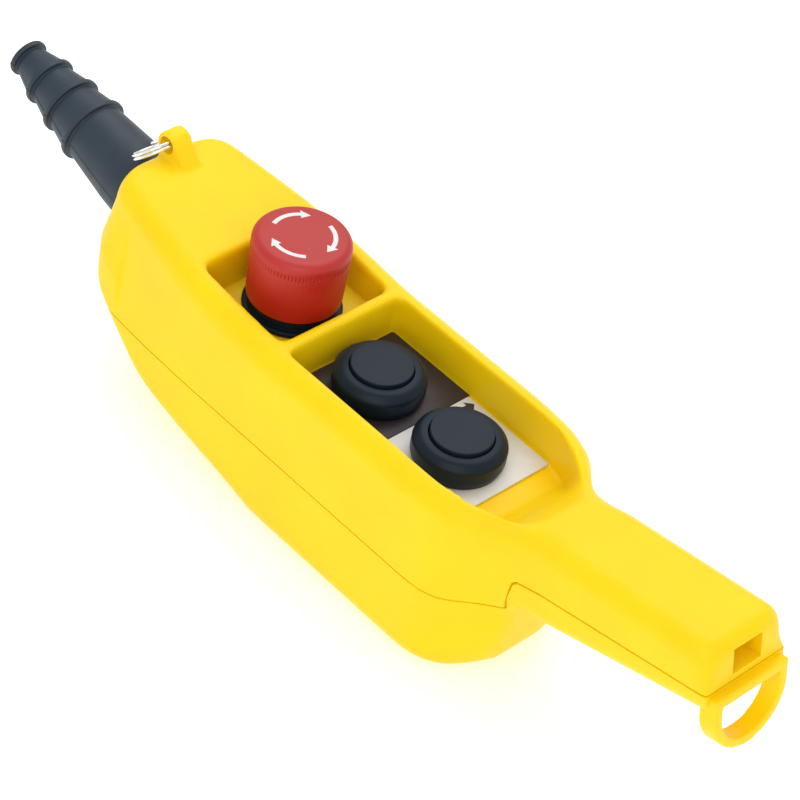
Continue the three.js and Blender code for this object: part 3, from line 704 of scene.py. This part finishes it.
def make_shells():
    skin = join(body_form(0, True), grip_form(0, True))
    cut(skin, estop_recess(), button_recess())
    join(skin, lug_block())
    relax(voxels(skin, 0.75), rounding_passes)

    cut(skin, seam_groove())
    room = join(body_form(WALL, False), grip_form(WALL, False))
    rear = keep(duplicate(skin), joint_side(-1))
    cut(rear, duplicate(room))
    cut(room, estop_recess(RECESS_WALL), button_recess(RECESS_WALL))
    front = keep(skin, joint_side(1))
    cut(front, room)
    cut(front, rod("boot_hole", BOOT_BASE["radius"] + 0.5, 60, 110, on_boot, 96))
    cut(front, rod("lug_hole", LUG["hole"], -20, 20, lambda a, b, c: (LUG["x"] + a, c, LUG["z"] + b), 64))
    join(front, grip_pocket(WINDOW["wall"], -1))
    cut(front, grip_pocket(0, 8))
    for x in (ESTOP_X, *BUTTONS.values()):
        cut(front, rod("neck_hole", NECK_HOLE, 50, 80, upright(x), 64))

    join(rear, lanyard_loop())
    for _, x, y, seat in housing_screws():
        post = rod("post", 5.6, seat, PART_Z - GAP / 2, upright(x, y), 48)
        join(rear, post)
        cut(rear, rod("head_hole", HEAD_HOLE, -10, seat + GAP, upright(x, y), 48),
            rod("shank_hole", SHANK_HOLE, -10, 60, upright(x, y), 32))
    join(rear, rod("grip_post", 5, -8, GRIP_PART - GAP / 2, lambda a, b, c: on_grip(a - GRIP_SCREW, b, c)))
    cut(rear, rod("head_hole", HEAD_HOLE, -30, -6, lambda a, b, c: on_grip(a - GRIP_SCREW, b, c), 48),
        rod("shank_hole", SHANK_HOLE, -30, 10, lambda a, b, c: on_grip(a - GRIP_SCREW, b, c), 32))

    front.name, rear.name = "front_shell_skin", "rear_shell_skin"
    finish(shade(front), "yellow_plastic", "housing", "front_shell")
    finish(shade(rear), "yellow_plastic", "housing", "rear_shell")


# ---------------------------------------------------------------- fasteners


def cross_screw(name, place, length=28.0):
    """Pan-head screw with a cross recess. Its head hangs below height 0 and its shank rises."""
    head, shank = 3.7, 1.9
    profile = softened(((0, -SCREW_HEAD), (head, 0.1 - SCREW_HEAD, 1.6), (head, 0, 0.2), (shank, 0, 0.2),
                        (shank, length - 1, 0.4), (0, length)), closed=False)
    screw = turned(name, profile, 64, place)
    for wide, deep in ((2.3, 0.5), (0.5, 2.3)):
        cut(screw, block("slot", -wide, wide, -deep, deep, -4, -1.3, place))
    return shade(screw, 30)


def make_screws():
    for node, x, y, seat in housing_screws():
        finish(cross_screw(f"{node}_body", upright(x, y, seat)), "zinc_steel", "housing", node)
    place = lambda a, b, c: on_grip(a - GRIP_SCREW, b, c - 6 - GAP)
    finish(cross_screw("grip_screw_body", place, length=16.0), "zinc_steel", "housing", "grip_screw")


# ---------------------------------------------------------------- cable boot and ring


def make_boot():
    """Tapering rubber boot: rounded lips, shallow waists between them and a mould seam down each side.
    It is one piece over the four quarters that the CAD model has."""
    lip, thick = 1.9, 1.1
    outer = []
    for at, radius in BOOT_RIBS:
        if at > 5:
            outer.append((radius - 1.1, at - thick - 0.3, 0.6))
        outer += [(radius - 0.2, at - thick, 0.3), (radius, at - 0.3, 0.5), (radius - 0.1, at + thick, 0.35),
                  (radius - lip, at + thick + 0.15, 0.5)]
    base = BOOT_BASE
    outer += [(base["radius"] - 0.75, base["at"] - 16, 30), (base["radius"] - 0.1, base["at"] + 1, 3),
              (base["radius"], base["step"], 0.4),
              (base["flange"], base["step"], 0.5), (base["flange"], base["end"], 0.5),
              (7.5, base["end"], 0.5)]
    inner = [(7.5, 60, 4), (4.6, 30, 4), (4.6, 0, 0.6)]
    segments = 180
    seams = (segments // 4, 3 * segments // 4)

    def seam(radius, height, k):
        raised = 0.28 if k in seams and radius > 7.2 and 0.3 < height < base["step"] else 0
        return radius + raised

    boot = turned("cable_boot_skin", softened(outer + inner), segments, on_boot, closed=True, wave=seam)
    quarters = [f"cable_boot_{side}" for side in ("left", "top", "right", "bottom")]
    finish(shade(boot, 40), "boot_rubber", "housing", *quarters)


def make_ring():
    half = RING["turns"] * RING["pitch"] / 2
    path = []
    for a, b, c in helix(RING["radius"], RING["turns"], -half, half, 160):
        s, t = math.sin(RING_ROLL), math.cos(RING_ROLL)
        a, b = a * t - b * s, a * s + b * t
        x, y, z = c, b + RING["y"], -a - RING["offset"]
        s, t = math.sin(RING_TILT), math.cos(RING_TILT)
        path.append((x * t + z * s + LUG["x"], y, z * t - x * s + LUG["z"]))
    ring = tube_along("suspension_ring_wire", path, RING["wire"], 16)
    finish(shade(ring, 60), "chrome", "hanging_ring", "suspension_ring")


# ---------------------------------------------------------------- legend plates


def pierced_plate(name, outline, hole_x, low, high):
    """Thin plate with a round hole and a small bevel round every edge."""
    plate = prism(name, outline, low, high, upright())
    cut(plate, rod("hole", NECK_HOLE, low - 2, high + 2, upright(hole_x), 96))
    bevel = plate.modifiers.new("bevel", "BEVEL")
    bevel.width = 0.15 * MM
    bevel.segments = 2
    bevel.limit_method = "ANGLE"
    return shade(bake_modifiers(plate))


def glyph_outline():
    """Arrow that points to +Y, its tip at the origin."""
    length, half, shaft = 7.6, 3.1, 1.24
    return [(0, 0), (-half, -half), (-shaft, -half), (-shaft, -length),
            (shaft, -length), (shaft, -half), (half, -half)]


def make_plates():
    for node, slot, hole_x, corner0, corner1 in (
            ("estop_legend_plate", "yellow_legend", ESTOP_X, 1.0, 1.0),
            ("legend_plate_black", "black_legend", BUTTONS["button_1"], 1.0, 0.0),
            ("legend_plate_white", "white_legend", BUTTONS["button_2"], 0.0, 0.0)):
        (x0, y0, low), (x1, y1, high) = [[c / MM for c in corner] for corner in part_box(node)]
        outline = softened(((x0, y0, corner0), (x1, y0, corner1), (x1, y1, corner1), (x0, y1, corner0)))
        plate = pierced_plate(f"{node}_sheet", outline, hole_x, low, high)
        finish(plate, slot, "housing", node)
    tip_x, tip_y = middle("legend_arrow", 0), highest("legend_arrow", 1)
    arrow = prism("legend_arrow_ink", glyph_outline(), PLATE_TOP - 0.05, PLATE_TOP + 0.08,
                  upright(tip_x, tip_y))
    finish(shade(arrow), "black_legend", "housing", "legend_arrow")


# ---------------------------------------------------------------- push-buttons


def make_button(name, x):
    bezel_low = PLATE_TOP + GAP
    mouth = CAP_RADIUS + GAP
    profile = softened((
        (6.2, NECK_END), (11, NECK_END, 0.5), (11, bezel_low), (BEZEL_RADIUS - 1.0, bezel_low, 0.4),
        (BEZEL_RADIUS, bezel_low + 3.2, 3), (BEZEL_RADIUS, BEZEL_TOP - 3.4, 2.4),
        (BEZEL_RADIUS - 2.6, BEZEL_TOP - 0.6, 3.6), (mouth, BEZEL_TOP, 0.25),
        (mouth, 67, 0.4), (9.6, 67), (9.6, 58), (6.2, 58)), steps=8)
    bezel = turned(f"{name}_ring", profile, 128, upright(x), closed=True)
    finish(shade(bezel), "black_plastic", "housing", f"{name}_bezel")

    profile = softened(((0, CAP_LOW), (CAP_RADIUS, CAP_LOW, 0.4), (CAP_RADIUS - 0.1, CAP_TOP - 0.15, 0.5),
                        (CAP_RADIUS - 3, CAP_TOP, 5), (0, CAP_TOP)), closed=False, steps=8)
    cap = turned(f"{name}_key", profile, 128, upright(x))
    finish(shade(cap), "black_plastic", name, f"{name}_cap")
    make_spring(name, x, 8, 0.6, 4)


def make_spring(name, x, radius, wire, turns):
    """Return spring, coiled between the lowest and highest points of its CAD node."""
    node = f"{name}_spring"
    low, high = lowest(node, 2), highest(node, 2)
    path = [(x + a, b, c) for a, b, c in helix(radius, turns, low + wire, high - wire, 30 * turns)]
    spring = tube_along(f"{node}_coil", path, wire, 10)
    finish(shade(spring, 60), "spring_steel", "housing", node)
    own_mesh(spring)


# ---------------------------------------------------------------- emergency stop

NOTCHES = 84
ARROW = {"depth": 1.3, "radius": 12.6, "width": 1.8, "barb": 2.3, "sweep": math.pi / 3, "head": math.pi / 10}


def curved_arrow(start, spare):
    radius, barb = ARROW["radius"], ARROW["barb"]
    lean = math.atan(barb / (radius * ARROW["head"]))
    first = start + spare / radius
    neck = start - ARROW["sweep"] + spare / radius
    tip = start - ARROW["sweep"] - ARROW["head"] - spare / math.sin(lean) / radius
    reach = barb + spare * (1 / math.cos(lean) + math.tan(lean))
    width = ARROW["width"] / 2 + spare
    outline = arc(0, 0, radius + width, first, neck, 20)
    outline += [((radius + side) * math.cos(a), (radius + side) * math.sin(a))
                for side, a in ((reach, neck), (0, tip), (-reach, neck))]
    return outline + arc(0, 0, radius - width, neck, first, 20)


def make_estop():
    low, top = HEAD_LOW, HEAD_TOP
    foot, bore = 19.1, 18.0
    segments = NOTCHES * 4

    def knurl(radius, height, k):
        """A band of fine upright grooves under the top edge."""
        depth = between(height, top - 8.2, top - 7.2) * (1 - between(height, top - 5.4, top - 4.4))
        return radius - 0.3 * depth * (k % 4 == 0) * (radius > bore + 0.5)

    depths = (8.4, 8.2, 8.0, 7.8, 7.6, 7.4, 7.2, 6.6, 6, 5.4, 5.2, 5, 4.8, 4.6, 4.4)
    band = [(HEAD_RADIUS - 0.05, top - z) for z in depths]
    profile = softened((
        (6.6, low + 2.5), (9.4, low + 2.5, 0.3), (9.4, 97), (bore, 97, 1), (bore, low, 0.3), (foot, low, 0.5),
        (HEAD_RADIUS - 0.35, low + 12, 40), *band, (HEAD_RADIUS, top - 0.35, 3.6), (HEAD_RADIUS - 5, top, 12),
        (0, top), (0, 98), (6.6, 98)), steps=10)
    head = turned("estop_mushroom", profile, segments, upright(ESTOP_X), wave=knurl)
    for k in range(3):
        start = 1.45 - k * 2 * math.pi / 3
        pocket = prism("pocket", curved_arrow(start, 0.12), top - ARROW["depth"], top + 3, upright(ESTOP_X))
        cut(head, pocket)
        inlay = prism(f"estop_release_arrow_{k + 1}", curved_arrow(start, 0), top - ARROW["depth"] + 0.1,
                      top + 0.02, upright(ESTOP_X))
        finish(shade(inlay), "white_legend", "estop_knob", f"estop_arrow_{k + 1}")
    finish(shade(head, 40), "red_plastic", "estop_knob", "estop_head")

    base = ESTOP_PLATE_TOP + GAP
    radius = (highest("estop_collar", 1) - lowest("estop_collar", 1)) / 2
    profile = softened((
        (6.8, NECK_END), (11, NECK_END, 0.5), (11, base), (radius, base, 0.3), (radius, 73.6, 0.9),
        (17.4, 73.7, 0.3), (17.4, 78, 0.4), (14.5, 78, 0.3), (14.5, 74), (9.6, 74), (9.6, 62), (6.8, 62)),
        steps=6)
    collar = turned("estop_base", profile, 128, upright(ESTOP_X), closed=True)
    finish(shade(collar), "black_plastic", "housing", "estop_collar")
    make_spring("estop", ESTOP_X, 8.2, 0.7, 5)


# ---------------------------------------------------------------- stage


FLOOR_GLOW = 0.36  # the floor is a lit sheet, as in a light tent
SURROUND_GLOW = 0.85
LAMP_TARGET = (0, 0, 0.05)


def area_light(name, place, size, power):
    """Square lamp that faces the object."""
    light = bpy.data.lights.new(name, "AREA")
    light.shape = "SQUARE"
    light.size = size
    light.energy = power
    obj = bpy.data.objects.new(name, light)
    bpy.context.scene.collection.objects.link(obj)
    obj.location = place
    obj.rotation_euler = (Vector(LAMP_TARGET) - Vector(place)).to_track_quat("-Z", "Y").to_euler()


def make_stage():
    half, level = 6000, -0.4
    corners = [(x, y, level) for x, y in ((-half, -half), (half, -half), (half, half), (-half, half))]
    floor = solid_object("floor", corners, ((0, 1, 2, 3),))
    look = Look("floor_sheet", (0.86, 0.86, 0.85), 0.7, specular=0.2)
    look.tint(look.noise(3, 2), 0.01)
    look.gloss(look.noise(5, 2), 0.05)
    look.shader.inputs["Emission Color"].default_value = (1, 1, 1, 1)
    look.shader.inputs["Emission Strength"].default_value = FLOOR_GLOW
    floor.data.materials.append(look.material)

    world = bpy.data.worlds.new("studio")
    world.use_nodes = True
    world.node_tree.nodes["Background"].inputs["Color"].default_value = (1.0, 1.0, 1.0, 1)
    world.node_tree.nodes["Background"].inputs["Strength"].default_value = SURROUND_GLOW
    bpy.context.scene.world = world
    area_light("back", (-0.5, 0.65, 1.4), 1.3, 9.5)
    area_light("front", (0.75, -1.05, 1.05), 1.2, 6.5)
    bpy.context.scene.view_settings.view_transform = "Standard"


def make_camera():
    """The photograph's view: from above the grip's left, a little rolled, through a long lens."""
    camera = bpy.data.cameras.new("camera")
    camera.sensor_width = 36
    camera.lens = 134.5
    camera.clip_end = 20
    obj = bpy.data.objects.new("camera", camera)
    bpy.context.scene.collection.objects.link(obj)
    back = Vector((0.471, -0.5733, 0.6705)).normalized()
    right = Vector((0.6726, 0.7251, 0.1476))
    right = (right - back * right.dot(back)).normalized()
    turn = Matrix((right, back.cross(right), back)).transposed()
    obj.matrix_world = Matrix.Translation((0.5488, -0.6534, 0.8343)) @ turn.to_4x4()
    bpy.context.scene.camera = obj


dress_cad_nodes()
make_shells()
make_screws()
make_boot()
make_ring()
make_plates()
for button, centre in BUTTONS.items():
    make_button(button, centre)
make_estop()
make_stage()
make_camera()
